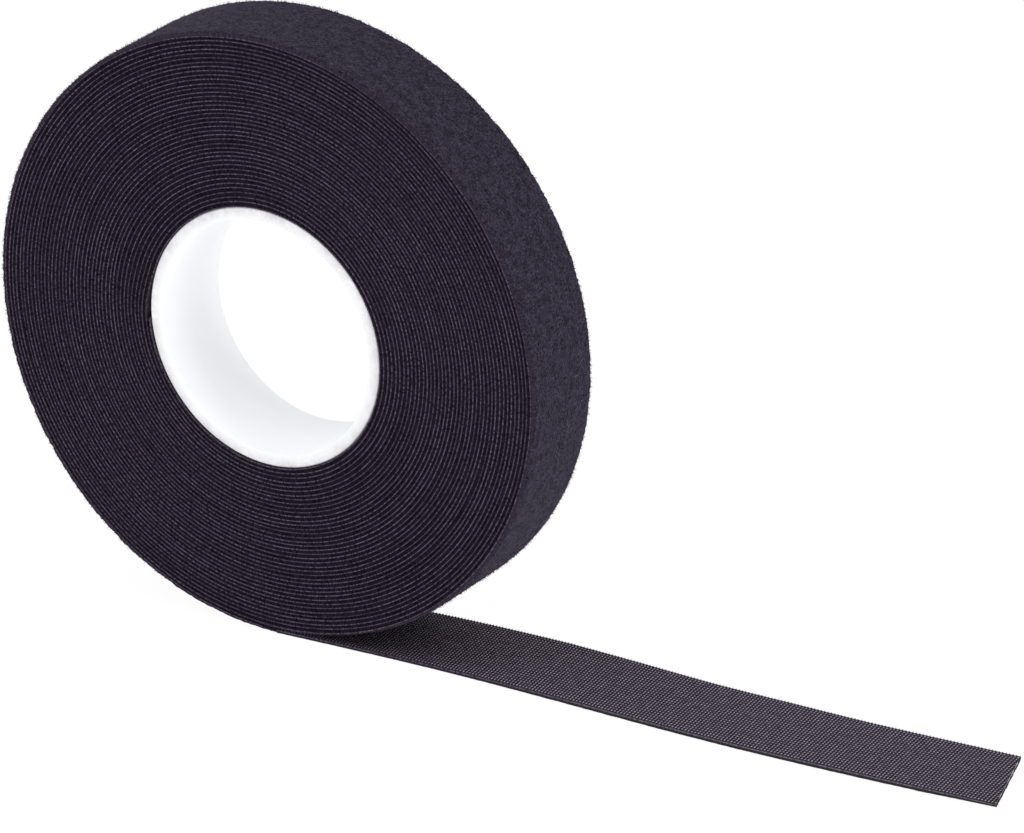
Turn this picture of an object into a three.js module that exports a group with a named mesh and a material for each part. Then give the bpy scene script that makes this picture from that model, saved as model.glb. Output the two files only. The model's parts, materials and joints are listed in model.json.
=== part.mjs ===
// Hook and loop tape on a plastic core: two black webs bonded back to back, one with hooks and one with
// loop fleece, wound hook side in on a white tube. The free end of the tape lies out flat along +X.
// Millimetres, +Z up. The origin is on the floor under the roll's axis, at the middle of the tape's width,
// and the axis of the roll runs along Y.
import * as THREE from "three";

// The tape
const TAPE_WIDTH = 20;
const HOOK_WEB = 0.45; // base with its moulded hooks
const LOOP_WEB = 0.65; // knitted base with its fleece
const BOND_LINE = 0.1; // adhesive between the webs

// The winding, drawn with fewer and wider turns than the real roll
const TURNS = 22;
const STEPS_PER_TURN = 24;
const INNER_STEPS = 6; // part of a turn left over at the core
const TURN_GAP = 0.32; // air between one turn and the next
const LEAST_GAP_ALLOWED = 0.4; // of a web to its own next turn
const GAP_SAMPLES = 4; // measured points on each step

// The core
const CORE_BORE = 48;
const CORE_WALL = 2.5;
const CORE_SET_IN = 0.2; // of each end behind the tape's edge
const CORE_CHAMFER = 0.4;
const CORE_SEGMENTS = 48;

// The tab that fixes the inner end of the tape to the core
const TAB_WIDTH = 16;
const TAB_THICKNESS = 0.2;
const TAB_CLEARANCE = 0.15; // to the core and to the tape
const TAB_STEPS = 3;

// The free end
const TAIL_LENGTH = 159; // from under the axis to the longer corner
const TAIL_LINKS = 9; // lengths that turn on each other, for a tape that bends
const CUT_SET_BACK = 6; // of the rear corner behind the front one
const LINK_GAP = 0.3;

// Sizes that follow from these
const TAPE_THICKNESS = HOOK_WEB + BOND_LINE + LOOP_WEB;
const PITCH = TAPE_THICKNESS + TURN_GAP;
const STEP_ANGLE = (2 * Math.PI) / STEPS_PER_TURN;
const WINDING_STEPS = TURNS * STEPS_PER_TURN + INNER_STEPS;
const CORE_RADIUS = CORE_BORE / 2 + CORE_WALL;
const SEAT = TAB_THICKNESS + 2 * TAB_CLEARANCE;
const ROLL_RADIUS = CORE_RADIUS + SEAT + TAPE_THICKNESS + (PITCH * WINDING_STEPS) / STEPS_PER_TURN;
const LINK_PITCH = TAIL_LENGTH / (TAIL_LINKS + 0.5);

// Heights of the tape's faces above the floor, where it leaves the roll
const LOOP_TOP = LOOP_WEB;
const HOOK_BOTTOM = LOOP_WEB + BOND_LINE;
const HOOK_TOP = TAPE_THICKNESS;
const BEND_HEIGHT = (LOOP_TOP + HOOK_BOTTOM) / 2;

// Finishes
const WHITE_PLASTIC = { color: 0xf2f2f0, roughness: 0.35, metalness: 0 };
const BLACK_HOOK = { color: 0x121216, roughness: 0.6, metalness: 0 };
const BLACK_LOOP = { color: 0x1a1a20, roughness: 0.95, metalness: 0 };
const CLEAR_TAB = { color: 0xd8d2b8, roughness: 0.5, metalness: 0 };

function namedMesh(name, geometry, finish) {
  const mesh = new THREE.Mesh(geometry, new THREE.MeshStandardMaterial(finish));
  mesh.name = name;
  return mesh;
}

// A corner of the winding in the XZ plane. Step 0 ends the flat stretch under the roll, and the steps go
// clockwise and inwards from there. The lift is the height of the face above the floor under the roll.
function windingCorner(step, lift) {
  const angle = (step + 0.5) * STEP_ANGLE;
  const apothem = ROLL_RADIUS - lift - (PITCH * step) / STEPS_PER_TURN;
  const radius = apothem / Math.cos(STEP_ANGLE / 2);
  return new THREE.Vector2(-radius * Math.sin(angle), ROLL_RADIUS - radius * Math.cos(angle));
}

// The corners of one face of the tape, from one step of the winding to another
function windingFace(firstStep, lastStep, lift) {
  const corners = [];
  for (let step = firstStep; step <= lastStep; step += 1) {
    corners.push(windingCorner(step, lift));
  }
  return corners;
}

// A solid strip between two faces in the XZ plane, centred on the middle of the tape's width
function stripBetween(outerFace, innerFace, width) {
  const outline = new THREE.Shape([...outerFace, ...[...innerFace].reverse()]);
  const strip = new THREE.ExtrudeGeometry(outline, { depth: width, bevelEnabled: false });
  strip.rotateX(Math.PI / 2);
  strip.translate(0, width / 2, 0);
  return strip;
}

// Points along a face, evenly spaced on each step
function samplesAlong(face) {
  const samples = [];
  for (let i = 0; i + 1 < face.length; i += 1) {
    for (let k = 0; k < GAP_SAMPLES; k += 1) {
      samples.push(face[i].clone().lerp(face[i + 1], k / GAP_SAMPLES));
    }
  }
  return samples;
}

// The least gap of a web to itself, measured between points over half a turn apart
function leastGap(outerFace, innerFace) {
  const halfTurn = (GAP_SAMPLES * STEPS_PER_TURN) / 2;
  const outer = samplesAlong(outerFace);
  const inner = samplesAlong(innerFace);
  let least = Infinity;
  for (let i = 0; i < inner.length; i += 1) {
    for (let j = i + halfTurn; j < outer.length; j += 1) {
      least = Math.min(least, inner[i].distanceTo(outer[j]));
    }
  }
  return least;
}

// One web of the tape: every turn of the winding in one piece with the stretch that leads to the free end
function woundWeb(name, bottom, top, finish) {
  const leadEnd = LINK_PITCH / 2 - LINK_GAP / 2;
  const outerFace = [new THREE.Vector2(leadEnd, bottom), ...windingFace(0, WINDING_STEPS, bottom)];
  const innerFace = [new THREE.Vector2(leadEnd, top), ...windingFace(0, WINDING_STEPS, top)];
  const gap = leastGap(outerFace, innerFace);
  const verdict = gap > LEAST_GAP_ALLOWED ? "clear" : "too close";
  console.log(`${name}: least gap to itself ${gap.toFixed(3)} mm, ${verdict}`);
  return namedMesh(name, stripBetween(outerFace, innerFace, TAPE_WIDTH), finish);
}

// The white tube: a ring section with chamfered edges, turned about the roll's axis
function core() {
  const boreRadius = CORE_BORE / 2;
  const end = TAPE_WIDTH / 2 - CORE_SET_IN;
  const section = [
    new THREE.Vector2(boreRadius, -end + CORE_CHAMFER),
    new THREE.Vector2(boreRadius + CORE_CHAMFER, -end),
    new THREE.Vector2(CORE_RADIUS - CORE_CHAMFER, -end),
    new THREE.Vector2(CORE_RADIUS, -end + CORE_CHAMFER),
    new THREE.Vector2(CORE_RADIUS, end - CORE_CHAMFER),
    new THREE.Vector2(CORE_RADIUS - CORE_CHAMFER, end),
    new THREE.Vector2(boreRadius + CORE_CHAMFER, end),
    new THREE.Vector2(boreRadius, end - CORE_CHAMFER),
  ];
  const tube = new THREE.LatheGeometry([...section, section[0].clone()], CORE_SEGMENTS);
  const mesh = namedMesh("core", tube, WHITE_PLASTIC);
  mesh.position.z = ROLL_RADIUS;
  return mesh;
}

// The adhesive tab between the core and the last steps of the inner turn
function startTab() {
  const firstStep = WINDING_STEPS - TAB_STEPS;
  const outerFace = windingFace(firstStep, WINDING_STEPS, HOOK_TOP + TAB_CLEARANCE);
  const innerFace = windingFace(firstStep, WINDING_STEPS, HOOK_TOP + TAB_CLEARANCE + TAB_THICKNESS);
  return namedMesh("start_tab", stripBetween(outerFace, innerFace, TAB_WIDTH), CLEAR_TAB);
}

// One web of one length of the free end, in a frame whose origin is on the bend before it
function tailStrip(name, bottom, top, cutSetBack, endGap, finish) {
  const start = LINK_GAP / 2;
  const end = LINK_PITCH - endGap;
  const half = TAPE_WIDTH / 2;
  const plan = new THREE.Shape([
    new THREE.Vector2(start, -half),
    new THREE.Vector2(end, -half),
    new THREE.Vector2(end - cutSetBack, half),
    new THREE.Vector2(start, half),
  ]);
  const strip = new THREE.ExtrudeGeometry(plan, { depth: top - bottom, bevelEnabled: false });
  strip.translate(0, 0, bottom - BEND_HEIGHT);
  return namedMesh(name, strip, finish);
}

// The free end, flat on the floor: lengths of both webs, each length carried by the one before it
function tail() {
  const root = new THREE.Group();
  root.position.set(LINK_PITCH / 2, 0, BEND_HEIGHT);
  let carrier = root;
  for (let link = 1; link <= TAIL_LINKS; link += 1) {
    const isLast = link === TAIL_LINKS;
    const number = String(link).padStart(2, "0");
    const cutSetBack = isLast ? CUT_SET_BACK : 0;
    const endGap = isLast ? 0 : LINK_GAP / 2;
    carrier.add(tailStrip(`tail_hook_${number}`, HOOK_BOTTOM, HOOK_TOP, cutSetBack, endGap, BLACK_HOOK));
    carrier.add(tailStrip(`tail_loop_${number}`, 0, LOOP_TOP, cutSetBack, endGap, BLACK_LOOP));
    if (!isLast) {
      const next = new THREE.Group();
      next.position.x = LINK_PITCH;
      carrier.add(next);
      carrier = next;
    }
  }
  return root;
}

const roll = new THREE.Group();
roll.add(core());
roll.add(startTab());
roll.add(woundWeb("hook_web", HOOK_BOTTOM, HOOK_TOP, BLACK_HOOK));
roll.add(woundWeb("loop_web", 0, LOOP_TOP, BLACK_LOOP));
roll.add(tail());

export default roll;
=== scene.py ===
"""Dressed model of a roll of black back-to-back hook and loop tape on a white plastic core.

Metres, +Z up. The origin is on the floor under the axis of the roll, at the middle of the tape's width.
+X runs along the free end of the tape and Y along the axis of the roll.

The tape is modelled the way it is cut: flat on the floor, loop fleece underneath and hooks on top, with the
wound length along -X and the free end along +X. The wound length is then rolled up along a spiral. Every
strip has a UV map in metres, u along the tape and v across it, and the tape's finishes read that map.
"""

import json
import logging
import math
from collections.abc import Callable, Iterable, Iterator
from contextlib import contextmanager
from dataclasses import dataclass
from enum import Enum

import bmesh
import bpy
import numpy as np
from bpy.types import Material, Mesh, Node, NodeSocket, NodeTree, Object, Texture
from mathutils import Matrix, Vector


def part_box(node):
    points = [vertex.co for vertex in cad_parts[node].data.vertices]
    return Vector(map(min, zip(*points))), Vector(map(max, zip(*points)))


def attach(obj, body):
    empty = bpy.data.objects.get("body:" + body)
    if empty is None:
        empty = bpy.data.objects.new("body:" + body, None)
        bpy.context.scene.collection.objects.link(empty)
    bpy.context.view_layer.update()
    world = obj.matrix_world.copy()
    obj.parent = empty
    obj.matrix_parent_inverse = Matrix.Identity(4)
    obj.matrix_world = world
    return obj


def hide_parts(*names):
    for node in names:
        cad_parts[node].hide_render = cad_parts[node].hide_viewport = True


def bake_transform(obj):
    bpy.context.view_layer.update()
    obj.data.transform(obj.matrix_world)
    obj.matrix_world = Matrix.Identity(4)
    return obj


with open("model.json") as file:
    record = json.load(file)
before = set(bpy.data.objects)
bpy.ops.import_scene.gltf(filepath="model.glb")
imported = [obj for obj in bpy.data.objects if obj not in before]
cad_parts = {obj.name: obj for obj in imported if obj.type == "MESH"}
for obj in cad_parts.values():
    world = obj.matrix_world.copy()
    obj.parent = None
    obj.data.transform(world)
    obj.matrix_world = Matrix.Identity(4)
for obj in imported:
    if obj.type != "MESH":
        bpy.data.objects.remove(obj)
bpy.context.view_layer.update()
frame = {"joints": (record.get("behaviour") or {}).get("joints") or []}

LOG = logging.getLogger("tape_roll")
MM = 0.001
UV_MAP = "UVMap"
WHITE = (1, 1, 1, 1)
FACING = 0.9  # the least part of a normal along an axis for its face to look that way
HARD_EDGE_DEG = 35
FLEECE_EDGE_DEG = 60
WELD = 0.002 * MM  # points of a strip that lie this close become one
EDGE_FULL = 0.2  # the share of its reach over which a mask of the tape's edge is full

Colour = tuple[float, float, float]
Place = tuple[float, float, float]
Span = tuple[float, float]
Sockets = dict[str | int, object]
Moves = tuple[int, np.ndarray]


class Pick(Enum):
    """What an edit-mode operator acts on."""

    EDGES = "EDGE"
    FACES = "FACE"


class Slot(Enum):
    """The record's material slots."""

    CORE = "core_plastic"
    TAB = "tab_film"
    HOOK = "hook_side"
    LOOP = "loop_side"


# Bench work: selecting, editing and finishing a mesh


def clear_selection() -> None:
    """Deselects every object, because an operator acts on all that is selected."""
    bpy.ops.object.select_all(action="DESELECT")


def select_only(*objects: Object) -> None:
    """Selects these objects and nothing else, with the first one active.

    Args:
        objects: The objects to select.
    """
    clear_selection()
    for obj in objects:
        obj.select_set(True)
    bpy.context.view_layer.objects.active = objects[0]


@contextmanager
def edit_mode(obj: Object, pick: Pick) -> Iterator[bmesh.types.BMesh]:
    """Opens an object in edit mode with nothing selected, and closes it again.

    Args:
        obj: The object to edit.
        pick: What will be selected.

    Returns:
        An iterator over the one mesh being edited, as the context manager needs.
    """
    select_only(obj)
    bpy.ops.object.mode_set(mode="EDIT")
    bpy.ops.mesh.select_mode(type=pick.value)
    bpy.ops.mesh.select_all(action="DESELECT")
    yield bmesh.from_edit_mesh(obj.data)
    bpy.ops.object.mode_set(mode="OBJECT")


def choose(obj: Object, elements: Iterable, test: Callable[[object], bool]) -> None:
    """Selects the edges or faces that pass a test, in edit mode.

    Args:
        obj: The object being edited.
        elements: The mesh's edges or faces.
        test: Says whether an element is wanted.
    """
    for element in elements:
        if test(element):
            element.select_set(True)
    bmesh.update_edit_mesh(obj.data)


def apply_modifier(obj: Object, kind: str, **settings: object) -> None:
    """Adds a modifier to an object and applies it.

    Args:
        obj: The object to finish.
        kind: The modifier's type.
        settings: The modifier's properties.
    """
    select_only(obj)
    modifier = obj.modifiers.new(kind, kind)
    for name, value in settings.items():
        setattr(modifier, name, value)
    bpy.ops.object.modifier_apply(modifier=modifier.name)


def place_in_mesh(obj: Object) -> None:
    """Moves an object's place, turn and scale into its mesh."""
    select_only(obj)
    bpy.ops.object.transform_apply(location=True, rotation=True, scale=True)


def name_new(name: str) -> Object:
    """Names the primitive that was just added, and puts its place in its mesh.

    Args:
        name: The piece's name.

    Returns:
        The new object.
    """
    obj = bpy.context.object
    obj.name = obj.data.name = name
    place_in_mesh(obj)
    return obj


def join(keep: Object, *others: Object) -> Object:
    """Joins other meshes into one piece.

    Args:
        keep: The piece that they become part of.
        others: The meshes to join to it.

    Returns:
        The joined piece.
    """
    select_only(keep, *others)
    bpy.ops.object.join()
    return keep


def remove(obj: Object) -> None:
    """Deletes a helper object."""
    bpy.data.objects.remove(obj)


def shade(obj: Object, angle_deg: float) -> None:
    """Shades a piece smooth across edges below an angle, in degrees."""
    select_only(obj)
    bpy.ops.object.shade_smooth_by_angle(angle=math.radians(angle_deg))


def points_of(mesh: Mesh) -> np.ndarray:
    """Reads a mesh's points.

    Args:
        mesh: The mesh.

    Returns:
        One row for each point, in metres.
    """
    points = np.empty(len(mesh.vertices) * 3, np.float32)
    mesh.vertices.foreach_get("co", points)
    return points.reshape(-1, 3)


def lay_out_uv(obj: Object) -> None:
    """Gives a flat strip its UV map in metres, u along the tape and v across it.

    Args:
        obj: The strip.
    """
    mesh = obj.data
    layer = mesh.uv_layers.get(UV_MAP) or mesh.uv_layers.new(name=UV_MAP)
    corners = np.empty(len(mesh.loops), np.int32)
    mesh.loops.foreach_get("vertex_index", corners)
    layer.uv.foreach_set("vector", points_of(mesh)[corners, :2].ravel())


def move_points(obj: Object, rule: Callable[[np.ndarray], Moves]) -> None:
    """Moves a mesh's points along one axis by a rule.

    Args:
        obj: The piece.
        rule: Takes the points and gives the number of the axis and each point's move, in metres.
    """
    points = points_of(obj.data)
    axis, move = rule(points)
    points[:, axis] += move
    obj.data.vertices.foreach_set("co", points.ravel())


def noise_field(name: str, grain: float) -> Texture:
    """A soft noise for the Displace modifier.

    Args:
        name: The texture's name.
        grain: The size of its blobs, in metres.

    Returns:
        The texture.
    """
    texture = bpy.data.textures.new(name, "CLOUDS")
    texture.noise_scale = grain
    texture.noise_depth = 1
    return texture


def roughen(obj: Object, axis: str, depth: float, noise: Texture, rest: float) -> None:
    """Pushes a mesh's points along an axis by a noise, over a depth in metres, and not at its rest value."""
    settings = {"texture": noise, "texture_coords": "LOCAL", "direction": axis}
    apply_modifier(obj, "DISPLACE", strength=depth, mid_level=rest, **settings)


# Node work


class NodeBench:
    """Adds and links the nodes of one tree."""

    def __init__(self, tree: NodeTree) -> None:
        """Starts on an empty tree."""
        self.tree = tree
        tree.nodes.clear()

    def add(self, kind: str, inputs: Sockets | None = None, **settings: object) -> Node:
        """Adds a node.

        Args:
            kind: The node's type.
            inputs: What its input sockets get, by name or number: a value, or the output that feeds it.
            settings: The node's properties.

        Returns:
            The node.
        """
        node = self.tree.nodes.new(kind)
        for name, value in settings.items():
            setattr(node, name, value)
        for name, value in (inputs or {}).items():
            if isinstance(value, NodeSocket):
                self.tree.links.new(value, node.inputs[name])
            else:
                node.inputs[name].default_value = value
        return node

    def ramp(self, factor: NodeSocket, low: Colour, high: Colour) -> NodeSocket:
        """Turns a value from 0 to 1 into a colour between two.

        Args:
            factor: The value.
            low: The colour at 0.
            high: The colour at 1.

        Returns:
            The colour.
        """
        node = self.add("ShaderNodeValToRGB", {"Fac": factor})
        for stop, colour in zip(node.color_ramp.elements, (low, high)):
            stop.color = (*colour, 1)
        return node.outputs["Color"]

    def mix(self, factor: NodeSocket, low: NodeSocket, high: NodeSocket) -> NodeSocket:
        """Mixes two colours: the first where the factor is 0 and the second where it is 1."""
        return self.add("ShaderNodeMix", {0: factor, 6: low, 7: high}, data_type="RGBA").outputs[2]

    def spread(self, value: NodeSocket, span: Span, top: float = 1.0, kind: str = "LINEAR") -> NodeSocket:
        """Adds a mask that is 0 at the start of a span of values and reaches its top at the end."""
        inputs = {"Value": value, "From Min": span[0], "From Max": span[1], "To Max": top}
        return self.add("ShaderNodeMapRange", inputs, interpolation_type=kind).outputs["Result"]

    def speckle(self, grain: float, span: Span) -> NodeSocket:
        """Adds the tape's specks, of a size in metres, as a mask over a span of the noise's values."""
        inputs = {"Specks per metre": 1 / grain, "Low": span[0], "High": span[1]}
        return self.add("ShaderNodeGroup", inputs, node_tree=speckle_group()).outputs["Mask"]

    def solid_noise(self, grain: float, detail: float, roughness: float = 0.5) -> NodeSocket:
        """Adds a noise that runs through a piece.

        Args:
            grain: The size of its blobs, in metres.
            detail: How many finer layers it has.
            roughness: How strong these are.

        Returns:
            A value about 0.5.
        """
        place = self.add("ShaderNodeTexCoord").outputs["Object"]
        inputs = {"Vector": place, "Scale": 1 / grain, "Detail": detail, "Roughness": roughness}
        return self.add("ShaderNodeTexNoise", inputs).outputs["Fac"]

    def tape_place(self, axis: str) -> NodeSocket:
        """Reads a point's place on the flat tape, in metres: X along it or Y across it."""
        place = self.add("ShaderNodeUVMap", uv_map=UV_MAP).outputs["UV"]
        return self.add("ShaderNodeSeparateXYZ", {"Vector": place}).outputs[axis]

    def edge_mask(self, half_width: float, reach: float) -> NodeSocket:
        """Adds a mask of the tape's two slit edges, from its half width and the mask's reach, in metres."""
        across = self.add("ShaderNodeMath", {0: self.tape_place("Y")}, operation="ABSOLUTE").outputs[0]
        return self.spread(across, (half_width - reach, half_width - EDGE_FULL * reach))

    def free_mask(self, run: Span) -> NodeSocket:
        """Adds a mask that is 0 on the roll and grows to 1 along a run of the free end, in metres."""
        return self.spread(self.tape_place("X"), run, kind="SMOOTHSTEP")

    def surface(self, colour: NodeSocket, height: NodeSocket, depth: float, values: Sockets) -> None:
        """Adds the shader, its bump and the material's output.

        Args:
            colour: The base colour.
            height: The bump's height, from 0 to 1.
            depth: The bump's depth, in metres.
            values: Values for the shader's sockets, by name.
        """
        bump = self.add("ShaderNodeBump", {"Height": height, "Distance": depth})
        inputs = {"Base Color": colour, "Normal": bump.outputs["Normal"], **values}
        shader = self.add("ShaderNodeBsdfPrincipled", inputs)
        self.add("ShaderNodeOutputMaterial", {"Surface": shader.outputs["BSDF"]})


def speckle_group() -> NodeTree:
    """The speckle that every finish of the tape shares: a noise on the UV map, spread to a mask.

    Returns:
        The node group.
    """
    name = "tape_speckle"
    if name in bpy.data.node_groups:
        return bpy.data.node_groups[name]
    tree = bpy.data.node_groups.new(name, "ShaderNodeTree")
    for socket in ("Specks per metre", "Low", "High"):
        tree.interface.new_socket(socket, in_out="INPUT", socket_type="NodeSocketFloat")
    tree.interface.new_socket("Mask", in_out="OUTPUT", socket_type="NodeSocketFloat")
    bench = NodeBench(tree)
    entry = bench.add("NodeGroupInput").outputs
    place = bench.add("ShaderNodeUVMap", uv_map=UV_MAP).outputs["UV"]
    inputs = {"Vector": place, "Scale": entry["Specks per metre"], "Detail": 2.0, "Roughness": 0.6}
    noise = bench.add("ShaderNodeTexNoise", inputs).outputs["Fac"]
    inputs = {"Value": noise, "From Min": entry["Low"], "From Max": entry["High"]}
    mask = bench.add("ShaderNodeMapRange", inputs).outputs["Result"]
    bench.add("NodeGroupOutput", {"Mask": mask})
    return tree


def scatter(ground: Object, tuft: Object, density: float, seed: int) -> None:
    """Turns a ground mesh into copies of a tuft that stand on it at random places, turns and sizes.

    Args:
        ground: The mesh that the copies stand on. It becomes the copies.
        tuft: The shape that is copied.
        density: Copies on a square metre.
        seed: Picks the random places, turns and sizes.
    """
    lean, least, most = math.radians(70), 0.55, 1.25
    tree = bpy.data.node_groups.new("scatter", "GeometryNodeTree")
    for direction in ("INPUT", "OUTPUT"):
        tree.interface.new_socket("Geometry", in_out=direction, socket_type="NodeSocketGeometry")
    bench = NodeBench(tree)
    entry = bench.add("NodeGroupInput")
    inputs = {"Mesh": entry.outputs[0], "Density": density, "Seed": seed}
    places = bench.add("GeometryNodeDistributePointsOnFaces", inputs)
    shape = bench.add("GeometryNodeObjectInfo", {"Object": tuft})
    inputs = {0: (-lean, -lean, 0), 1: (lean, lean, 2 * math.pi), "Seed": seed + 1}
    turn = bench.add("FunctionNodeRandomValue", inputs, data_type="FLOAT_VECTOR")
    size = bench.add("FunctionNodeRandomValue", {2: least, 3: most, "Seed": seed + 2})
    inputs = {
        "Points": places.outputs["Points"],
        "Instance": shape.outputs["Geometry"],
        "Rotation": turn.outputs[0],
        "Scale": size.outputs[1],
    }
    copies = bench.add("GeometryNodeInstanceOnPoints", inputs)
    solid = bench.add("GeometryNodeRealizeInstances", {"Geometry": copies.outputs["Instances"]})
    bench.add("NodeGroupOutput", {0: solid.outputs["Geometry"]})
    apply_modifier(ground, "NODES", node_group=tree)


# Finishes


def scaled(colour: Colour, share: float) -> Colour:
    """A colour made darker or lighter by a share."""
    return tuple(channel * share for channel in colour)


def new_material(name: str) -> tuple[Material, NodeBench]:
    """Makes an empty node material.

    Args:
        name: The material's name.

    Returns:
        The material and a bench for its nodes.
    """
    material = bpy.data.materials.new(name)
    material.use_nodes = True
    return material, NodeBench(material.node_tree)


@dataclass(frozen=True, kw_only=True)
class TapeFinish:
    """What the finishes of the tape share: fine specks in the colour and in the bump."""

    name: str
    half_width: float
    dark: Colour
    light: Colour
    roughness: float
    gloss: float
    grain: float
    grain_span: Span
    bump: float

    def colour(self, bench: NodeBench, specks: NodeSocket) -> NodeSocket:
        """Adds the colour of the surface from its specks."""
        return bench.ramp(specks, self.dark, self.light)

    def shine(self) -> Sockets:
        """Gives the values for the shader's sockets."""
        return {"Roughness": self.roughness, "Specular IOR Level": self.gloss}

    def material(self) -> Material:
        """Builds the material.

        Returns:
            The material.
        """
        material, bench = new_material(self.name)
        specks = bench.speckle(self.grain, self.grain_span)
        bench.surface(self.colour(bench, specks), specks, self.bump, self.shine())
        return material


@dataclass(frozen=True, kw_only=True)
class FleeceFinish(TapeFinish):
    """Brushed loop fleece: mottled blue-black felt with a faint sheen, pale flecks and plainer slit edges."""

    name: str = "loop_fleece"
    dark: Colour = (0.0072, 0.0058, 0.0104)
    light: Colour = (0.0475, 0.0396, 0.0650)
    thin_shades: Span = (0.70, 0.66)
    full_shades: Span = (1.40, 1.25)
    fleck: Colour = (0.170, 0.158, 0.185)
    wound_edge: Colour = (0.026, 0.0205, 0.0325)
    wound_shades: Span = (0.35, 1.8)
    free_edge: Colour = (0.026, 0.0225, 0.0295)
    free_shades: Span = (0.6, 1.4)
    sheen: Colour = (0.80, 0.75, 1.0)
    sheen_weight: float = 0.10
    sheen_roughness: float = 0.35
    roughness: float = 1.0
    gloss: float = 0.05
    grain: float = 0.50 * MM
    grain_span: Span = (0.30, 0.70)
    patch: float = 1.9 * MM
    patch_span: Span = (0.36, 0.64)
    fleck_grain: float = 0.30 * MM
    fleck_span: Span = (0.65, 0.74)
    edge_reach: float = 0.28 * MM
    free_run: Span = (10 * MM, 80 * MM)
    bump: float = 0.12 * MM

    def colour(self, bench: NodeBench, specks: NodeSocket) -> NodeSocket:
        """Adds the colour of the surface.

        Args:
            bench: The bench of the material.
            specks: The fine specks of the felt.

        Returns:
            The colour.
        """
        thin, full, wound, free = (
            bench.ramp(specks, scaled(low, shades[0]), scaled(high, shades[1]))
            for low, high, shades in (
                (self.dark, self.light, self.thin_shades),
                (self.dark, self.light, self.full_shades),
                (self.wound_edge, self.wound_edge, self.wound_shades),
                (self.free_edge, self.free_edge, self.free_shades),
            )
        )
        face = bench.mix(bench.speckle(self.patch, self.patch_span), thin, full)
        fleck = bench.ramp(specks, self.fleck, self.fleck)
        flecked = bench.mix(bench.speckle(self.fleck_grain, self.fleck_span), face, fleck)
        # Next to the roll the free end's slit edge keeps the darker colour of the wound turns: painted shade
        # of the roll.
        slit = bench.mix(bench.free_mask(self.free_run), wound, free)
        return bench.mix(bench.edge_mask(self.half_width, self.edge_reach), flecked, slit)

    def shine(self) -> Sockets:
        """Gives the values for the shader's sockets, with the sheen."""
        sheen = {"Weight": self.sheen_weight, "Roughness": self.sheen_roughness, "Tint": (*self.sheen, 1)}
        return {**super().shine(), **{f"Sheen {name}": value for name, value in sheen.items()}}


@dataclass(frozen=True, kw_only=True)
class KnitFinish(TapeFinish):
    """The knitted base of the loop web, seen only on its slit edge: almost black, partly its own colour and
    partly painted shade of the gaps between the turns.
    """

    name: str = "loop_web_knit"
    # Darker than the knit's own black: painted shade of the gaps between the turns.
    dark: Colour = (0.0042, 0.0027, 0.0057)
    light: Colour = (0.0190, 0.0125, 0.0243)
    roughness: float = 0.95
    gloss: float = 0.05
    grain: float = 0.4 * MM
    grain_span: Span = (0.35, 0.70)
    bump: float = 0.1 * MM


@dataclass(frozen=True, kw_only=True)
class BaseFinish(TapeFinish):
    """The base of the hook web: black, with a paler, broken line painted on its slit edges as a highlight."""

    name: str = "hook_web_base"
    dark: Colour = (0.019, 0.0155, 0.0222)
    light: Colour = (0.054, 0.0450, 0.0610)
    # The slit line's colours, for the wound turns and for the free end: a painted highlight.
    slit_dark: Colour = (0.012, 0.0080, 0.0160)
    slit_light: Colour = (0.112, 0.0822, 0.1318)
    slit_shades: Span = (0.6, 1.15)
    free_slit_dark: Colour = (0.050, 0.043, 0.054)
    free_slit_light: Colour = (0.170, 0.150, 0.180)
    roughness: float = 0.7
    gloss: float = 0.15
    grain: float = 0.55 * MM
    grain_span: Span = (0.38, 0.64)
    stretch: float = 28 * MM
    stretch_span: Span = (0.36, 0.64)
    edge_reach: float = 0.12 * MM
    free_run: Span = (20 * MM, 90 * MM)
    bump: float = 0.05 * MM

    def colour(self, bench: NodeBench, specks: NodeSocket) -> NodeSocket:
        """Adds the colour of the surface.

        Args:
            bench: The bench of the material.
            specks: The fine specks of the base.

        Returns:
            The colour.
        """
        face = super().colour(bench, specks)
        dull, pale = (
            bench.ramp(specks, self.slit_dark, scaled(self.slit_light, share)) for share in self.slit_shades
        )
        wound = bench.mix(bench.speckle(self.stretch, self.stretch_span), dull, pale)
        free = bench.ramp(specks, self.free_slit_dark, self.free_slit_light)
        # Next to the roll the free end's slit keeps the darker colour of the wound turns: painted shade of
        # the roll.
        slit = bench.mix(bench.free_mask(self.free_run), wound, free)
        return bench.mix(bench.edge_mask(self.half_width, self.edge_reach), face, slit)


@dataclass(frozen=True, kw_only=True)
class HookFinish(TapeFinish):
    """The moulded hooks' heads: satin black nylon, painted pale as a highlight, with painted shade of the
    roll on the stretch nearest it.
    """

    name: str = "hook_nylon"
    # Pale greys for black nylon: a painted highlight on the hook heads.
    dark: Colour = (0.195, 0.160, 0.226)
    light: Colour = (0.465, 0.393, 0.516)
    # Painted shade of the roll, on the stretch of hooks nearest it.
    roll_shade_dark: Colour = (0.027, 0.020, 0.034)
    roll_shade_light: Colour = (0.078, 0.060, 0.094)
    roughness: float = 0.40
    gloss: float = 0.45
    grain: float = 1.6 * MM
    grain_span: Span = (0.30, 0.70)
    free_run: Span = (4 * MM, 56 * MM)
    bump: float = 0.02 * MM

    def colour(self, bench: NodeBench, specks: NodeSocket) -> NodeSocket:
        """Adds the colour of the surface: painted shade of the roll next to it, turning paler along the free
        end.
        """
        roll_shade = bench.ramp(specks, self.roll_shade_dark, self.roll_shade_light)
        return bench.mix(bench.free_mask(self.free_run), roll_shade, super().colour(bench, specks))


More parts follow.
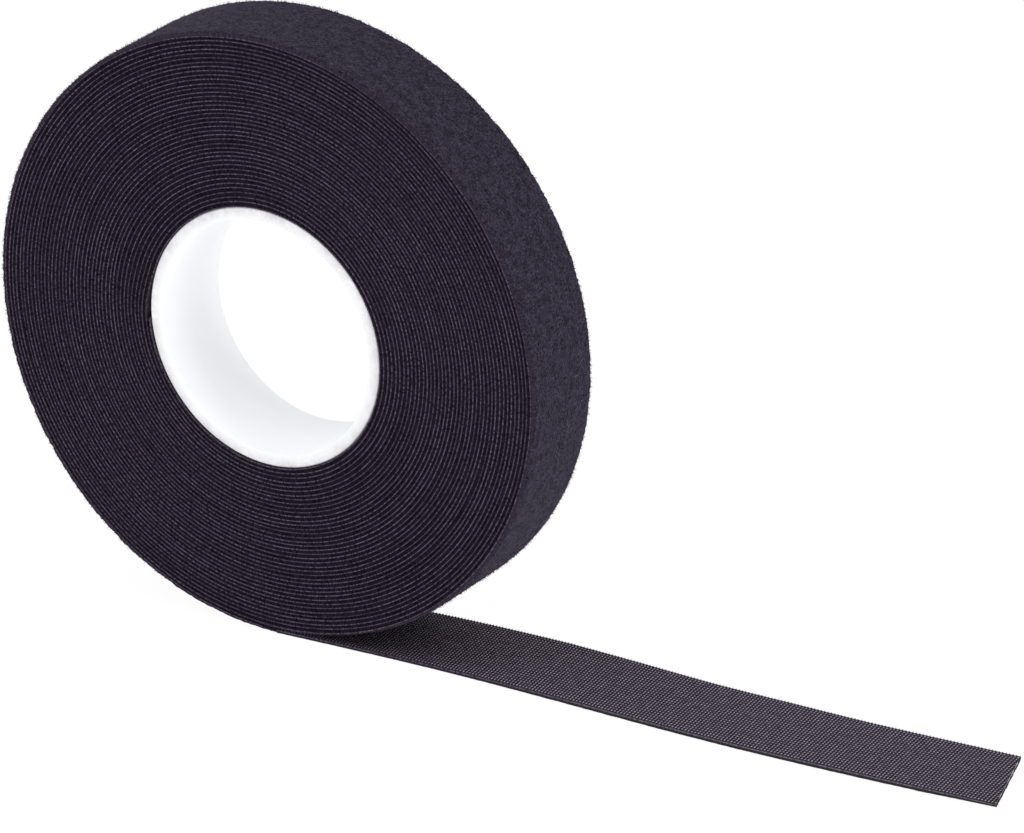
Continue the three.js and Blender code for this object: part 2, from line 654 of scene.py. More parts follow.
@dataclass(frozen=True, kw_only=True)
class PlasticFinish:
    """A plastic with a faint cloud in its colour and a fine grain. The tab's film is one."""

    name: str = "tab_film"
    low: Colour = (0.60, 0.56, 0.42)
    high: Colour = (0.72, 0.68, 0.52)
    roughness: float = 0.50
    cloud: float = 9 * MM
    cloud_detail: float = 3.0
    grain: float = 0.35 * MM
    grain_detail: float = 1.0
    bump: float = 0.01 * MM

    def clouded(self, bench: NodeBench, low: Colour, high: Colour) -> NodeSocket:
        """Adds a colour that drifts between two."""
        return bench.ramp(bench.solid_noise(self.cloud, self.cloud_detail), low, high)

    def colour(self, bench: NodeBench) -> NodeSocket:
        """Adds the colour of the surface."""
        return self.clouded(bench, self.low, self.high)

    def material(self) -> Material:
        """Builds the material.

        Returns:
            The material.
        """
        material, bench = new_material(self.name)
        grain = bench.solid_noise(self.grain, self.grain_detail)
        bench.surface(self.colour(bench), grain, self.bump, {"Roughness": self.roughness})
        return material


@dataclass(frozen=True, kw_only=True)
class CoreFinish(PlasticFinish):
    """White moulded plastic, darker in patches towards the outer edge of its ends where the tape meets it:
    partly lint and partly painted shade.
    """

    name: str = "core_white"
    low: Colour = (0.874, 0.880, 0.902)
    high: Colour = (0.900, 0.905, 0.922)
    roughness: float = 0.45
    radius: float
    axis_height: float
    # Grey in patches towards the outer edge of the ends: partly lint, partly painted shade of the tape.
    lint_and_shade_tint: Colour = (0.40, 0.385, 0.41)
    lint_and_shade_share: float = 1.2
    lint_and_shade_grain: float = 4 * MM
    lint_and_shade_detail: float = 5.0
    lint_and_shade_roughness: float = 0.75
    lint_and_shade_span: Span = (0.28, 0.72)
    lint_and_shade_most: float = 0.9
    lint_and_shade_reach: float = 2.5 * MM

    def colour(self, bench: NodeBench) -> NodeSocket:
        """Adds the colour of the surface.

        Args:
            bench: The bench of the material.

        Returns:
            The colour.
        """
        place = bench.add("ShaderNodeTexCoord").outputs["Object"]
        flat = bench.add("ShaderNodeVectorMath", {0: place, 1: (1, 0, 1)}, operation="MULTIPLY")
        inputs = {0: flat.outputs["Vector"], 1: (0, 0, self.axis_height)}
        out = bench.add("ShaderNodeVectorMath", inputs, operation="DISTANCE").outputs["Value"]
        # Darker in patches towards the outer rim, where the tape meets the core: partly lint, partly painted
        # shade.
        edge = bench.spread(out, (self.radius - self.lint_and_shade_reach, self.radius))
        noise = bench.solid_noise(self.lint_and_shade_grain, self.lint_and_shade_detail, self.lint_and_shade_roughness)
        patchy = bench.spread(noise, self.lint_and_shade_span, self.lint_and_shade_most)
        lint_and_shade_mask = bench.add("ShaderNodeMath", {0: edge, 1: patchy}, operation="MULTIPLY").outputs[0]
        clean = self.clouded(bench, self.low, self.high)
        lint_and_shade_tint = self.clouded(bench, self.lint_and_shade_tint, scaled(self.lint_and_shade_tint, self.lint_and_shade_share))
        return bench.mix(lint_and_shade_mask, clean, lint_and_shade_tint)


# Sizes and materials that the pieces share


@dataclass(frozen=True)
class TapeSizes:
    """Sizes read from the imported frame, and the layers of the tape."""

    width: float
    roll_radius: float
    core_radius: float
    core_half_depth: float
    bends: tuple[float, ...]
    bend_height: float
    tail_end: float
    fleece_bottom: float = 0.0
    fleece_depth: float = 0.34 * MM
    loop_top: float = 0.60 * MM
    base_top: float = 0.85 * MM

    @classmethod
    def from_frame(cls) -> "TapeSizes":
        """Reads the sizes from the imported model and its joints.

        Returns:
            The sizes.
        """
        drawn_longer = 1 * MM
        core_low, core_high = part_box("core")
        web_low, web_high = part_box("loop_web")
        places = sorted(joint["pos_m"] for joint in frame["joints"])
        return cls(
            width=web_high.y - web_low.y,
            roll_radius=(core_low.z + core_high.z) / 2,
            core_radius=(core_high.x - core_low.x) / 2,
            core_half_depth=core_high.y,
            bends=tuple(place[0] for place in places),
            bend_height=places[0][2],
            tail_end=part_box(f"tail_hook_{len(places):02d}")[1].x + drawn_longer,
        )

    @property
    def half_width(self) -> float:
        """From the middle of the tape to its edge."""
        return self.width / 2

    @property
    def link(self) -> float:
        """From one bend of the free end to the next."""
        return self.bends[1] - self.bends[0]


@dataclass(frozen=True)
class Finishes:
    """The built materials."""

    fleece: Material
    knit: Material
    base: Material
    hook: Material
    core: Material
    tab: Material

    @classmethod
    def build(cls, sizes: TapeSizes) -> "Finishes":
        """Builds every finish.

        Args:
            sizes: The sizes of the roll.

        Returns:
            The materials.
        """
        return cls(
            fleece=FleeceFinish(half_width=sizes.half_width).material(),
            knit=KnitFinish(half_width=sizes.half_width).material(),
            base=BaseFinish(half_width=sizes.half_width).material(),
            hook=HookFinish(half_width=sizes.half_width).material(),
            core=CoreFinish(radius=sizes.core_radius, axis_height=sizes.roll_radius).material(),
            tab=PlasticFinish().material(),
        )


def declare(piece: Object, slot: Slot, *nodes: str) -> None:
    """Hides the nodes that a piece stands for, and reports the piece.

    Args:
        piece: The finished piece.
        slot: Its slot in the record; not used.
        nodes: The nodes that it replaces.
    """
    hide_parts(*nodes)
    LOG.info("%s: %d faces", piece.name, len(piece.data.polygons))


# Strips of tape, laid out flat


@dataclass(frozen=True)
class StripSection:
    """The cross-section of a web: half its width, the heights of its two faces and its rounded edge."""

    half_width: float
    bottom: float
    top: float
    rounding: float
    edge_steps: int = 2

    def lay(self, name: str, start: float, end: float, step: float) -> Object:
        """Models a closed strip along X.

        Args:
            name: The strip's name.
            start: Where it starts, in metres.
            end: Where it ends.
            step: About how long each of its equal steps is.

        Returns:
            The strip, with its UV map.
        """
        count = max(1, round((end - start) / step))
        pace = (end - start) / count
        middle = (start + pace / 2, 0, (self.bottom + self.top) / 2)
        block = (pace, 2 * self.half_width, self.top - self.bottom)
        clear_selection()
        bpy.ops.mesh.primitive_cube_add(size=1, location=middle, scale=block)
        strip = name_new(name)
        with edit_mode(strip, Pick.FACES) as mesh:
            choose(strip, mesh.faces, lambda face: abs(face.normal.x) > FACING)
            bpy.ops.mesh.delete(type="FACE")
        with edit_mode(strip, Pick.EDGES) as mesh:
            choose(strip, mesh.edges, lambda edge: abs(edge.verts[0].co.x - edge.verts[1].co.x) > pace / 2)
            bpy.ops.mesh.bevel(offset=self.rounding, segments=self.edge_steps, affect="EDGES")
        apply_modifier(
            strip, "ARRAY", count=count, relative_offset_displace=(1, 0, 0), use_merge_vertices=True,
            merge_threshold=WELD,
        )
        for end_x in (start, end):
            with edit_mode(strip, Pick.EDGES) as mesh:
                choose(
                    strip, mesh.edges,
                    lambda edge: edge.is_boundary and all(abs(v.co.x - end_x) < pace / 2 for v in edge.verts),
                )
                bpy.ops.mesh.edge_face_add()
        lay_out_uv(strip)
        return strip


@dataclass
class FleeceMaker:
    """Makes fleece sheets, flat on the floor with the fleece underneath."""

    sizes: TapeSizes
    finish: Material
    cell: float = 0.34 * MM
    edge_lift: float = 0.20 * MM
    edge_run: float = 0.9 * MM
    lump_grain: float = 1.4 * MM
    nap_grain: float = 0.5 * MM
    lumpiness: float = 1.0
    fibre_length: float = 0.50 * MM
    fibre_radius: float = 0.036 * MM
    fibre_taper: float = 0.8
    fibre_curl: float = 0.7
    fibre_tip: float = 0.5
    fibres_per_m2: float = 1.3e6
    fringe_per_m2: float = 8.0e6
    fringe_cells: float = 1.5
    fringe_seed: int = 5

    def __post_init__(self) -> None:
        """Makes the two noises that the felt's lumps come from."""
        self.lumps = noise_field("fleece_lumps", self.lump_grain)
        self.nap = noise_field("fleece_nap", self.nap_grain)

    def skin(self, name: str, start: float, end: float) -> Object:
        """Models the lumpy skin of the fleece as an open sheet.

        Args:
            name: The sheet's name.
            start: Where it starts along X, in metres.
            end: Where it ends.

        Returns:
            The sheet, with its UV map.
        """
        length, half = end - start, self.sizes.half_width
        clear_selection()
        bpy.ops.mesh.primitive_grid_add(
            x_subdivisions=round(length / self.cell),
            y_subdivisions=round(2 * half / self.cell),
            size=1,
            location=((start + end) / 2, 0, self.sizes.fleece_bottom),
        )
        bpy.context.object.scale = (length, 2 * half, 1)
        sheet = name_new(name)
        lay_out_uv(sheet)
        move_points(sheet, self.round_off)
        for texture in (self.lumps, self.nap):
            roughen(sheet, "Z", self.lumpiness * self.sizes.fleece_depth / 2, texture, rest=0)
        return sheet

    def round_off(self, points: np.ndarray) -> Moves:
        """Says how far the edges of a sheet curve up, for move_points."""
        into_edge = np.clip(1 - (self.sizes.half_width - np.abs(points[:, 1])) / self.edge_run, 0, 1)
        return 2, self.edge_lift * into_edge**2

    def fibre(self) -> Object:
        """Models one loose loop of the fleece, pointing down from the origin and curled at its end.

        Returns:
            The fibre.
        """
        half = self.fibre_length / 2
        curl = self.fibre_curl * half
        clear_selection()
        bpy.ops.mesh.primitive_cone_add(
            vertices=3, radius1=self.fibre_radius, radius2=self.fibre_taper * self.fibre_radius, depth=half,
            location=(0, 0, -half / 2), rotation=(math.pi, 0, 0),
        )
        fibre = name_new("fleece_fibre")
        with edit_mode(fibre, Pick.FACES) as mesh:
            choose(fibre, mesh.faces, lambda face: face.normal.z < -FACING)
            bpy.ops.mesh.extrude_region_move(TRANSFORM_OT_translate={"value": (curl, 0, -curl)})
            bpy.ops.transform.resize(value=(self.fibre_tip,) * 3)
        return fibre

    def grow(self, ground: Object, density: float, seed: int) -> None:
        """Turns a piece of skin into the loose fibres that stand on it.

        Args:
            ground: The piece of skin. It becomes the fibres.
            density: Fibres on a square metre.
            seed: Picks where the fibres stand.
        """
        fibre = self.fibre()
        scatter(ground, fibre, density, seed)
        remove(fibre)
        ground.data.materials.clear()
        lay_out_uv(ground)

    def fuzz(self, name: str, start: float, end: float, seed: int) -> Object:
        """Models the loose fibres of a length of fleece, which are thickest along its edges.

        Args:
            name: The name of the fibres.
            start: Where the length starts along X, in metres.
            end: Where it ends.
            seed: Picks where the fibres stand.

        Returns:
            The fibres, with their UV map.
        """
        fibres = self.skin(name, start, end)
        fringe = self.skin(f"{name}_fringe", start, end)
        inner = self.sizes.half_width - self.fringe_cells * self.cell
        with edit_mode(fringe, Pick.FACES) as mesh:
            choose(fringe, mesh.faces, lambda face: abs(face.calc_center_median().y) < inner)
            bpy.ops.mesh.delete(type="FACE")
        self.grow(fibres, self.fibres_per_m2, seed)
        self.grow(fringe, self.fringe_per_m2, seed + self.fringe_seed)
        return join(fibres, fringe)

    def sheet(self, name: str, start: float, end: float) -> Object:
        """Models a closed fleece sheet with a flat back.

        Args:
            name: The sheet's name.
            start: Where it starts along X, in metres.
            end: Where it ends.

        Returns:
            The sheet, with its UV map.
        """
        sheet = self.skin(name, start, end)
        depth = self.sizes.loop_top - self.sizes.fleece_bottom - self.sizes.fleece_depth
        skin_points = len(sheet.data.vertices)
        apply_modifier(sheet, "SOLIDIFY", thickness=depth, offset=1)

        def flatten_back(points: np.ndarray) -> Moves:
            """Puts the points of the back, which come first, at the top of the loop web."""
            is_back = np.arange(len(points)) < skin_points
            return 2, np.where(is_back, self.sizes.loop_top - points[:, 2], 0)

        move_points(sheet, flatten_back)
        sheet.data.materials.append(self.finish)
        return sheet


# Sub-assemblies


@dataclass
class Core:
    """The white tube that the tape is wound on."""

    sizes: TapeSizes
    finishes: Finishes
    wall: float = 2.5 * MM
    rounding: float = 0.45 * MM
    rim_deg: float = 60
    rim_steps: int = 4
    segments: int = 180

    def build(self) -> None:
        """Models the tube from a cylinder: its ends are inset and bridged, and its rims rounded."""
        clear_selection()
        bpy.ops.mesh.primitive_cylinder_add(
            vertices=self.segments,
            radius=self.sizes.core_radius,
            depth=2 * self.sizes.core_half_depth,
            location=(0, 0, self.sizes.roll_radius),
            rotation=(math.pi / 2, 0, 0),
        )
        tube = name_new("core_tube")
        with edit_mode(tube, Pick.FACES) as mesh:
            choose(tube, mesh.faces, lambda face: abs(face.normal.y) > FACING)
            bpy.ops.mesh.inset(thickness=self.wall)
            bpy.ops.mesh.bridge_edge_loops()
        with edit_mode(tube, Pick.EDGES):
            bpy.ops.mesh.edges_select_sharp(sharpness=math.radians(self.rim_deg))
            bpy.ops.mesh.bevel(offset=self.rounding, segments=self.rim_steps, affect="EDGES")
            bpy.ops.mesh.select_all(action="SELECT")
            bpy.ops.mesh.normals_make_consistent(inside=False)
        shade(tube, HARD_EDGE_DEG)
        tube.data.materials.append(self.finishes.core)
        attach(tube, "roll")
        declare(tube, Slot.CORE, "core")


@dataclass
class Winding:
    """The wound tape: both webs on one spiral, the fleece of the outer turn and the start tab."""

    sizes: TapeSizes
    finishes: Finishes
    fleece: FleeceMaker
    turns: float = 40.244
    wound_thickness: float = 0.85 * MM
    loop_layer: Span = (-0.22 * MM, 0.54 * MM)
    loop_recess: float = 0.17 * MM
    loop_rounding: float = 0.12 * MM
    hook_layer: Span = (0.56 * MM, 0.80 * MM)
    hook_rounding: float = 0.06 * MM
    tab_seat: float = 0.12 * MM
    tab_clearance: float = 0.012 * MM
    tab_thickness: float = 0.08 * MM
    tab_width: float = 16 * MM
    tab_length: float = 20 * MM
    tab_rounding: float = 0.02 * MM
    tab_step: float = 0.8 * MM
    step: float = 2.2 * MM
    path_steps: int = 240
    crown_sag: float = 0.45 * MM
    crown_lean: float = 0.17 * math.pi
    inner_step_run: float = 0.06
    inner_step_turns: float = 8.0
    rim_lengths: int = 3
    seed_step: int = 10
    fleece_overlap: float = 3 * MM
    rim_loft: float = 0.36 * MM
    loft_run: float = 45 * MM
    covered_run: Span = (22 * MM, 66 * MM)
    bare_run: float = 28 * MM
    wander: float = 0.30 * MM
    wander_grain: float = 90 * MM
    ripple: float = 0.10 * MM
    ripple_grain: float = 1.2 * MM
    wobble: float = 0.26 * MM
    wobble_grain: float = 32 * MM

    def __post_init__(self) -> None:
        """Works out the spiral, draws it and makes the noises that set its turns a little off each other."""
        inner_radius = self.sizes.core_radius + self.tab_seat + self.wound_thickness
        self.pitch = (self.sizes.roll_radius - inner_radius) / self.turns
        self.length = 0.0
        self.path = self.draw_path()
        self.unevenness = (
            ("Y", self.wander, noise_field("winding_wander", self.wander_grain)),
            ("Y", self.ripple, noise_field("winding_ripple", self.ripple_grain)),
            ("Z", self.wobble, noise_field("winding_wobble", self.wobble_grain)),
        )
        self.rim_length = 2 * math.pi * (self.sizes.roll_radius - self.pitch / 2) + self.fleece_overlap

    def draw_path(self) -> Object:
        """Draws the spiral of the tape's outer face, from under the axis clockwise and inwards.

        The first turns lie close round the core and step up over the tape's inner end, and the outer ones
        sag a little at the top of the roll.

        Returns:
            The curve, whose length is also kept.
        """
        count = round(self.turns * self.path_steps)
        angle = np.linspace(0, 2 * math.pi * self.turns, count + 1)
        left = np.maximum(self.turns - angle / (2 * math.pi), 0)
        climb = np.clip((left % 1 - 1) / self.inner_step_run + 1, 0, 1)
        stepped = np.floor(left) + climb**2 * (3 - 2 * climb)
        held = np.clip(1 - (left - 1) / self.inner_step_turns, 0, 1)
        radius = self.sizes.roll_radius - self.pitch * (self.turns - left - held * (stepped - left))
        crown = (0.5 - 0.5 * np.cos(angle + self.crown_lean)) ** 2 * (radius / self.sizes.roll_radius) ** 2
        radius -= self.crown_sag * crown
        across, up = -radius * np.sin(angle), self.sizes.roll_radius - radius * np.cos(angle)
        points = np.stack([across, up, 0 * angle, 0 * angle + 1], 1)
        self.length = float(np.linalg.norm(np.diff(points, axis=0), axis=1).sum())
        curve = bpy.data.curves.new("winding_path", "CURVE")
        curve.dimensions = "3D"
        curve.twist_mode = "Z_UP"
        curve.use_deform_bounds = False
        spline = curve.splines.new("POLY")
        spline.points.add(count)
        spline.points.foreach_set("co", points.ravel())
        spline.points.foreach_set("tilt", np.full(count + 1, -math.pi / 2))
        path = bpy.data.objects.new("winding_path", curve)
        path.rotation_euler.x = math.pi / 2
        bpy.context.collection.objects.link(path)
        return path

    def wind(self, strip: Object) -> None:
        """Rolls a flat strip up along the spiral."""
        apply_modifier(strip, "CURVE", object=self.path, deform_axis="NEG_X")

    def web(
        self, name: str, section: StripSection, end: float, finish: Material
    ) -> Object:
        """Models one web of the winding, with turns that lie a little off each other.

        Args:
            name: The web's name.
            section: Its cross-section.
            end: Where its outer end lies along X, in metres.
            finish: Its material.

        Returns:
            The wound web.
        """
        web = section.lay(name, -self.length, end, self.step)
        for axis, depth, noise in self.unevenness:
            roughen(web, axis, depth, noise, rest=0.5)
        self.wind(web)
        shade(web, HARD_EDGE_DEG)
        web.data.materials.append(finish)
        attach(web, "roll")
        return web

    def outer_turn(self) -> None:
        """Models the fleece of the outer turn, which is the rim of the roll."""
        length = self.rim_length / self.rim_lengths
        for number in range(1, self.rim_lengths + 1):
            name, start, end = f"rim_fleece_{number:02d}", -number * length, (1 - number) * length
            rim = self.fleece.sheet(name, start, end)
            first, last = max(start, self.bare_run - self.rim_length), min(end, -self.bare_run)
            fibres = self.fleece.fuzz(f"{name}_fibres", first, last, seed=self.seed_step * number)
            fibres.data.materials.append(self.finishes.fleece)
            join(rim, fibres)
            self.loft(rim)
            self.wind(rim)
            shade(rim, FLEECE_EDGE_DEG)
            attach(rim, "roll")
            declare(rim, Slot.LOOP, "loop_web")

    def loft(self, rim: Object) -> None:
        """Lets the fleece of the rim stand up, except where the floor or the free end presses on it.

        Args:
            rim: A length of the rim's fleece, still flat.
        """
        reach = (*(run - self.rim_length for run in self.covered_run), -self.loft_run, 0)

        def rise(points: np.ndarray) -> Moves:
            """Moves the skin and its fibres out, and the back not at all."""
            along = np.interp(points[:, 0], reach, (0, 1, 1, 0))
            layer = np.interp(points[:, 2], (self.sizes.fleece_depth, self.sizes.loop_top), (1, 0))
            return 2, -self.rim_loft * along * layer

        move_points(rim, rise)

    def start_tab(self) -> None:
        """Models the film that holds the inner end of the tape to the core."""
        bottom = self.wound_thickness + self.tab_clearance
        section = StripSection(self.tab_width / 2, bottom, bottom + self.tab_thickness, self.tab_rounding)
        film = section.lay("start_tab_film", -self.length, -self.length + self.tab_length, self.tab_step)
        self.wind(film)
        film.data.materials.append(self.finishes.tab)
        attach(film, "roll")
        declare(film, Slot.TAB, "start_tab")

    def build(self) -> None:
        """Models the webs, the rim and the tab, and removes the spiral."""
        half = self.sizes.half_width
        loop = StripSection(half - self.loop_recess, *self.loop_layer, self.loop_rounding)
        hook = StripSection(half, *self.hook_layer, self.hook_rounding)
        inner_turns = self.web("loop_web_turns", loop, -self.rim_length, self.finishes.knit)
        declare(inner_turns, Slot.LOOP, "loop_web")
        all_turns = self.web("hook_web_turns", hook, 0, self.finishes.base)
        declare(all_turns, Slot.HOOK, "hook_web")
        self.outer_turn()
        self.start_tab()
        remove(self.path)


@dataclass
class FreeEnd:
    """The free end of the tape, in lengths as long as the spacing of its joints."""

    sizes: TapeSizes
    finishes: Finishes
    fleece: FleeceMaker
    step: float = 1.2 * MM
    base_rounding: float = 0.05 * MM
    columns: int = 23
    rows: int = 25
    row_pitch: float = 0.80 * MM
    column_slant: float = -0.0726
    hook_width: float = 0.32 * MM
    hook_foot: float = 0.22 * MM
    hook_height: float = 0.32 * MM
    hook_sunk: float = 0.05 * MM
    foot_share: float = 0.2
    head_share: float = 0.62
    hook_bends: tuple[Place, ...] = (
        (0.0, 0.35, 0.80), (0.08, 0.30, 0.90), (0.24, 0.15, 0.90), (0.20, -0.12, 0.65),
    )
    cut_set_back: float = 6 * MM
    cut_pinch: float = 0.55
    pinch_run: float = 16 * MM
    swell: float = 0.25 * MM
    swell_run: Span = (20 * MM, 70 * MM)
    bow: float = 0.9 * MM
    bow_wave: float = 140 * MM
    rear_lift_mm: tuple[Span, ...] = (
        (10, 0.0), (16, 0.22), (22, 0.50), (30, 0.64), (42, 0.80), (54, 0.95), (70, 0.75), (88, 0.45),
        (105, 0.50), (123, 0.25), (160, 0.15),
    )

    def hook(self) -> Object:
        """Models one moulded hook at the origin, curled towards +X.

        Returns:
            The hook.
        """
        foot = self.foot_share * self.hook_height + self.hook_sunk
        clear_selection()
        bpy.ops.mesh.primitive_cube_add(
            size=1, location=(0, 0, foot / 2 - self.hook_sunk), scale=(self.hook_foot, self.hook_width, foot)
        )
        hook = name_new("moulded_hook")
        with edit_mode(hook, Pick.FACES) as mesh:
            choose(hook, mesh.faces, lambda face: face.normal.z > FACING)
            for ahead, rise, taper in self.hook_bends:
                shift = (ahead * self.hook_height, 0, rise * self.hook_height)
                bpy.ops.mesh.extrude_region_move(TRANSFORM_OT_translate={"value": shift})
                bpy.ops.transform.resize(value=(taper, 0.5 + taper / 2, taper))
        # Stems keep the dark base colour; heads above the share get the pale hook finish, a painted
        # highlight.
        for finish in (self.finishes.base, self.finishes.hook):
            hook.data.materials.append(finish)
        for face in hook.data.polygons:
            face.material_index = int(face.center.z > self.head_share * self.hook_height)
        return hook

    def hooks(self, start: float, length: float) -> Object:
        """Models the field of hooks on one length, in rows along the tape and slightly slanting columns.

        Args:
            start: Where the length starts along X, in metres.
            length: How long it is.

        Returns:
            The field of hooks.
        """
        pitch = self.sizes.link / self.columns
        field = self.hook()
        for count, offset in (
            (self.rows, (self.column_slant * self.row_pitch, self.row_pitch, 0)),
            (round(length / pitch), (pitch, 0, 0)),
        ):
            apply_modifier(
                field, "ARRAY", count=count, use_relative_offset=False, use_constant_offset=True,
                constant_offset_displace=offset,
            )
        first_row = -(self.rows - 1) / 2 * self.row_pitch
        field.location = (start + pitch / 2 + self.column_slant * first_row, first_row, self.sizes.base_top)
        place_in_mesh(field)
        return field

    def hook_side(self, number: int, start: float, end: float) -> Object:
        """Models the hook web of one length.

        Args:
            number: The length's number from the roll.
            start: Where it starts along X, in metres.
            end: Where it ends.

        Returns:
            The base with its hooks.
        """
        sizes = self.sizes
        section = StripSection(sizes.half_width, sizes.loop_top, sizes.base_top, self.base_rounding)
        web = section.lay(f"free_end_hooks_{number:02d}", start, end, self.step)
        web.data.materials.append(self.finishes.base)
        field = self.hooks(start, end - start)
        lay_out_uv(field)
        return join(web, field)

    def rise(self, points: np.ndarray) -> Moves:
        """Says how far a length swells, thins towards its cut and lifts its rear edge, for move_points.

        Args:
            points: The points of the flat length.

        Returns:
            The axis and the moves.
        """
        half = self.sizes.half_width
        across = np.interp(points[:, 1], (-half, half), (0, 1))
        layer = np.interp(points[:, 2], (0, self.sizes.loop_top), (0, 1))
        fuller = self.swell * np.interp(points[:, 0], self.swell_run, (0, 1))
        to_cut = self.sizes.tail_end - points[:, 0] - across * self.cut_set_back
        pinch = np.interp(to_cut, (0, self.pinch_run), (self.cut_pinch, 1))
        full = points[:, 2] + layer * fuller
        thinner = (1 - pinch) * np.maximum(self.sizes.base_top + self.swell - full, 0)
        along, lift = MM * np.array(self.rear_lift_mm).T
        return 2, layer * fuller + thinner + across * np.interp(points[:, 0], along, lift)

    def sway(self, points: np.ndarray) -> Moves:
        """Says how far a length bows to the side, for move_points."""
        return 1, self.bow * np.sin(2 * math.pi * points[:, 0] / self.bow_wave)

    def cut(self, piece: Object) -> None:
        """Cuts the last length off on a slant, as the tape was cut.

        Args:
            piece: The last length of a web, still flat.
        """
        with edit_mode(piece, Pick.FACES):
            bpy.ops.mesh.select_all(action="SELECT")
            bpy.ops.mesh.bisect(
                plane_co=(self.sizes.tail_end, -self.sizes.half_width, 0),
                plane_no=Vector((self.sizes.width, self.cut_set_back, 0)).normalized(),
                use_fill=True,
                clear_outer=True,
            )
        lay_out_uv(piece)

    def build(self) -> None:
        """Models every length, cuts the last one and lets it ride the last joint's body; the others stay
        fixed in place.
        """
        count = len(self.sizes.bends)
        for number in range(1, count + 2):
            start = (number - 1) * self.sizes.link
            is_last = number > count
            end = self.sizes.tail_end if is_last else number * self.sizes.link
            node = f"{min(number, count):02d}"
            hooks = self.hook_side(number, start, end)
            fleece = self.fleece.sheet(f"free_end_fleece_{number:02d}", start, end)
            for piece, angle in ((hooks, HARD_EDGE_DEG), (fleece, FLEECE_EDGE_DEG)):
                if is_last:
                    self.cut(piece)
                move_points(piece, self.rise)
                move_points(piece, self.sway)
                shade(piece, angle)
                if is_last:
                    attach(piece, f"tail_{node}")
                else:
                    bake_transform(piece)
            declare(hooks, Slot.HOOK, f"tail_hook_{node}")
            declare(fleece, Slot.LOOP, f"tail_loop_{node}")


# The studio


@dataclass(frozen=True)
class Lamp:
    """A soft square lamp: where it hangs and the length of its side, in metres, and its power in watts."""

    name: str
    place: Place
    side: float
    power: float

    def hang(self, aim: Vector) -> None:
        """Hangs the lamp.

        Args:
            aim: The point that it shines at.
        """
        light = bpy.data.lights.new(self.name, "AREA")
        light.size = self.side
        light.energy = self.power
        lamp = bpy.data.objects.new(self.name, light)
        lamp.location = self.place
        lamp.rotation_euler = (aim - Vector(self.place)).to_track_quat("-Z", "Y").to_euler()
        bpy.context.collection.objects.link(lamp)


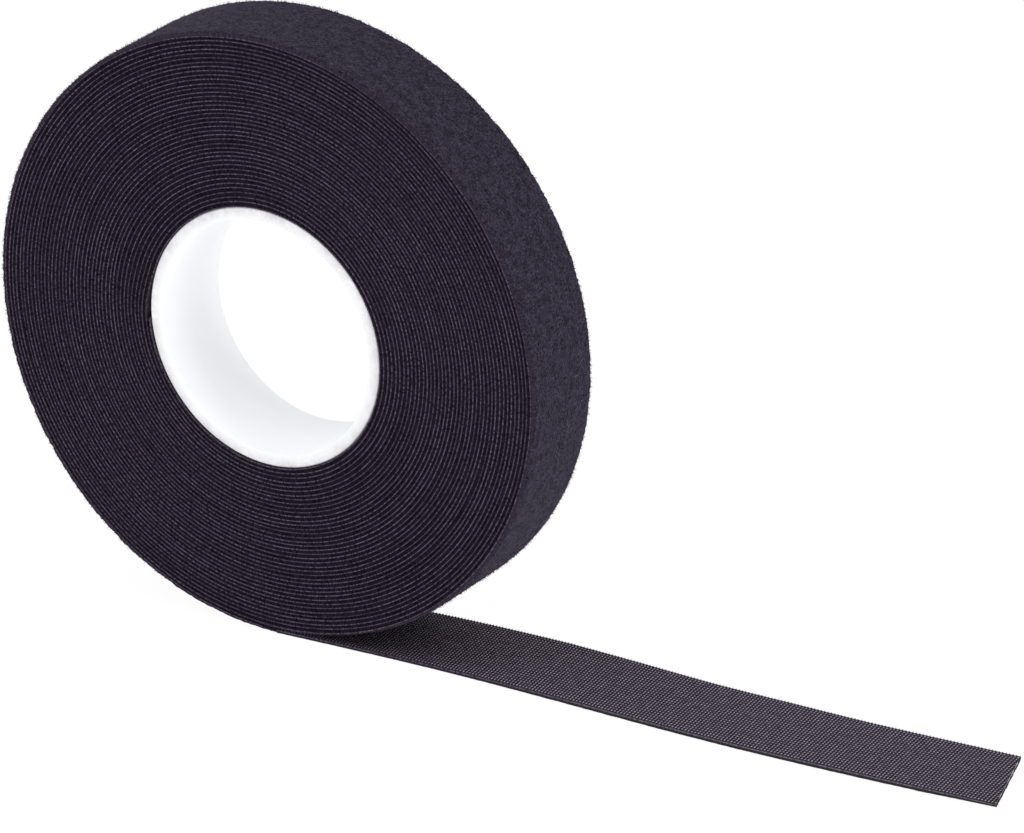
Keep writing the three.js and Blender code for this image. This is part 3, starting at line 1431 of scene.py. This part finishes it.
@dataclass
class Studio:
    """A white floor and background, soft light and a camera at the photograph's angle."""

    sizes: TapeSizes
    floor_size: float = 6.0
    floor_paint: float = 0.86
    floor_light: float = 0.40
    floor_white: float = 0.94
    ambient: float = 0.80
    lamps: tuple[Lamp, ...] = (
        Lamp("key_lamp", (-0.35, -0.45, 1.25), 0.9, 5.2),
        Lamp("side_lamp", (1.2, -0.05, 0.10), 0.4, 5.2),
    )
    lamp_aim_x: float = 0.03
    lens_mm: float = 282.4
    view_depth: float = 50
    azimuth_deg: float = 33.675
    elevation_deg: float = 23.139
    tilt_deg: float = -1.865
    distance: float = 1.50598
    target: Place = (0.05642, -0.010, 0.05755)

    def white_seen(self, bench: NodeBench) -> NodeSocket:
        """Adds a mask that is 1 where the camera, a reflection or glass sees the surface.

        Args:
            bench: The bench of the material or the world.

        Returns:
            The mask.
        """
        path = bench.add("ShaderNodeLightPath").outputs
        seen = path["Is Camera Ray"]
        for other in ("Is Glossy Ray", "Is Transmission Ray"):
            seen = bench.add("ShaderNodeMath", {0: seen, 1: path[other]}, operation="MAXIMUM").outputs[0]
        return seen

    def world(self) -> None:
        """Lights everything softly from all round, in front of a white background."""
        world = bpy.data.worlds.new("studio")
        bpy.context.scene.world = world
        world.use_nodes = True
        bench = NodeBench(world.node_tree)
        soft = bench.add("ShaderNodeBackground", {"Color": WHITE, "Strength": self.ambient}).outputs[0]
        white = bench.add("ShaderNodeBackground", {"Color": WHITE, "Strength": 1.0}).outputs[0]
        mix = bench.add("ShaderNodeMixShader", {"Fac": self.white_seen(bench), 1: soft, 2: white})
        bench.add("ShaderNodeOutputWorld", {"Surface": mix.outputs[0]})

    def floor(self) -> None:
        """Lays a plain white floor, lit like a light table, that keeps a faint shadow."""
        clear_selection()
        bpy.ops.mesh.primitive_plane_add(size=self.floor_size)
        floor = name_new("studio_floor")
        material, bench = new_material("floor_white")
        paint = bench.add("ShaderNodeBsdfDiffuse", {"Color": (*(self.floor_paint,) * 3, 1)}).outputs[0]
        light = bench.add("ShaderNodeEmission", {"Color": WHITE, "Strength": self.floor_light}).outputs[0]
        white = bench.add("ShaderNodeEmission", {"Color": WHITE, "Strength": 1.0}).outputs[0]
        table = bench.add("ShaderNodeAddShader", {0: paint, 1: light}).outputs[0]
        inputs = {0: self.white_seen(bench), 1: self.floor_white}
        share = bench.add("ShaderNodeMath", inputs, operation="MULTIPLY").outputs[0]
        mix = bench.add("ShaderNodeMixShader", {"Fac": share, 1: table, 2: white})
        bench.add("ShaderNodeOutputMaterial", {"Surface": mix.outputs[0]})
        floor.data.materials.append(material)

    def camera(self) -> None:
        """Places the camera where the photograph was taken from."""
        azimuth, elevation = math.radians(self.azimuth_deg), math.radians(self.elevation_deg)
        flat = math.cos(elevation)
        back = Vector((math.sin(azimuth) * flat, -math.cos(azimuth) * flat, math.sin(elevation)))
        right = Vector((math.cos(azimuth), math.sin(azimuth), 0))
        up = back.cross(right)
        turn = Matrix((right, up, back)).transposed() @ Matrix.Rotation(math.radians(self.tilt_deg), 3, "Z")
        data = bpy.data.cameras.new("photo_camera")
        data.lens = self.lens_mm
        data.clip_end = self.view_depth
        camera = bpy.data.objects.new("photo_camera", data)
        camera.matrix_world = Matrix.Translation(Vector(self.target) + back * self.distance) @ turn.to_4x4()
        bpy.context.collection.objects.link(camera)
        bpy.context.scene.camera = camera

    def build(self) -> None:
        """Sets up the camera, the background, the floor and the lamps."""
        bpy.context.scene.view_settings.view_transform = "Standard"
        self.camera()
        self.world()
        self.floor()
        for lamp in self.lamps:
            lamp.hang(Vector((self.lamp_aim_x, 0, self.sizes.roll_radius)))


def main() -> None:
    """Builds the studio and every sub-assembly of the roll."""
    logging.basicConfig(level=logging.INFO, format="%(name)s %(message)s")
    sizes = TapeSizes.from_frame()
    finishes = Finishes.build(sizes)
    rim_fleece = FleeceMaker(sizes, finishes.fleece)
    Studio(sizes).build()
    Core(sizes, finishes).build()
    Winding(sizes, finishes, rim_fleece).build()
    pressed_fleece = FleeceMaker(sizes, finishes.fleece, edge_lift=0.16 * MM, lumpiness=0.35)
    FreeEnd(sizes, finishes, pressed_fleece).build()


if __name__ == "__main__":
    main()
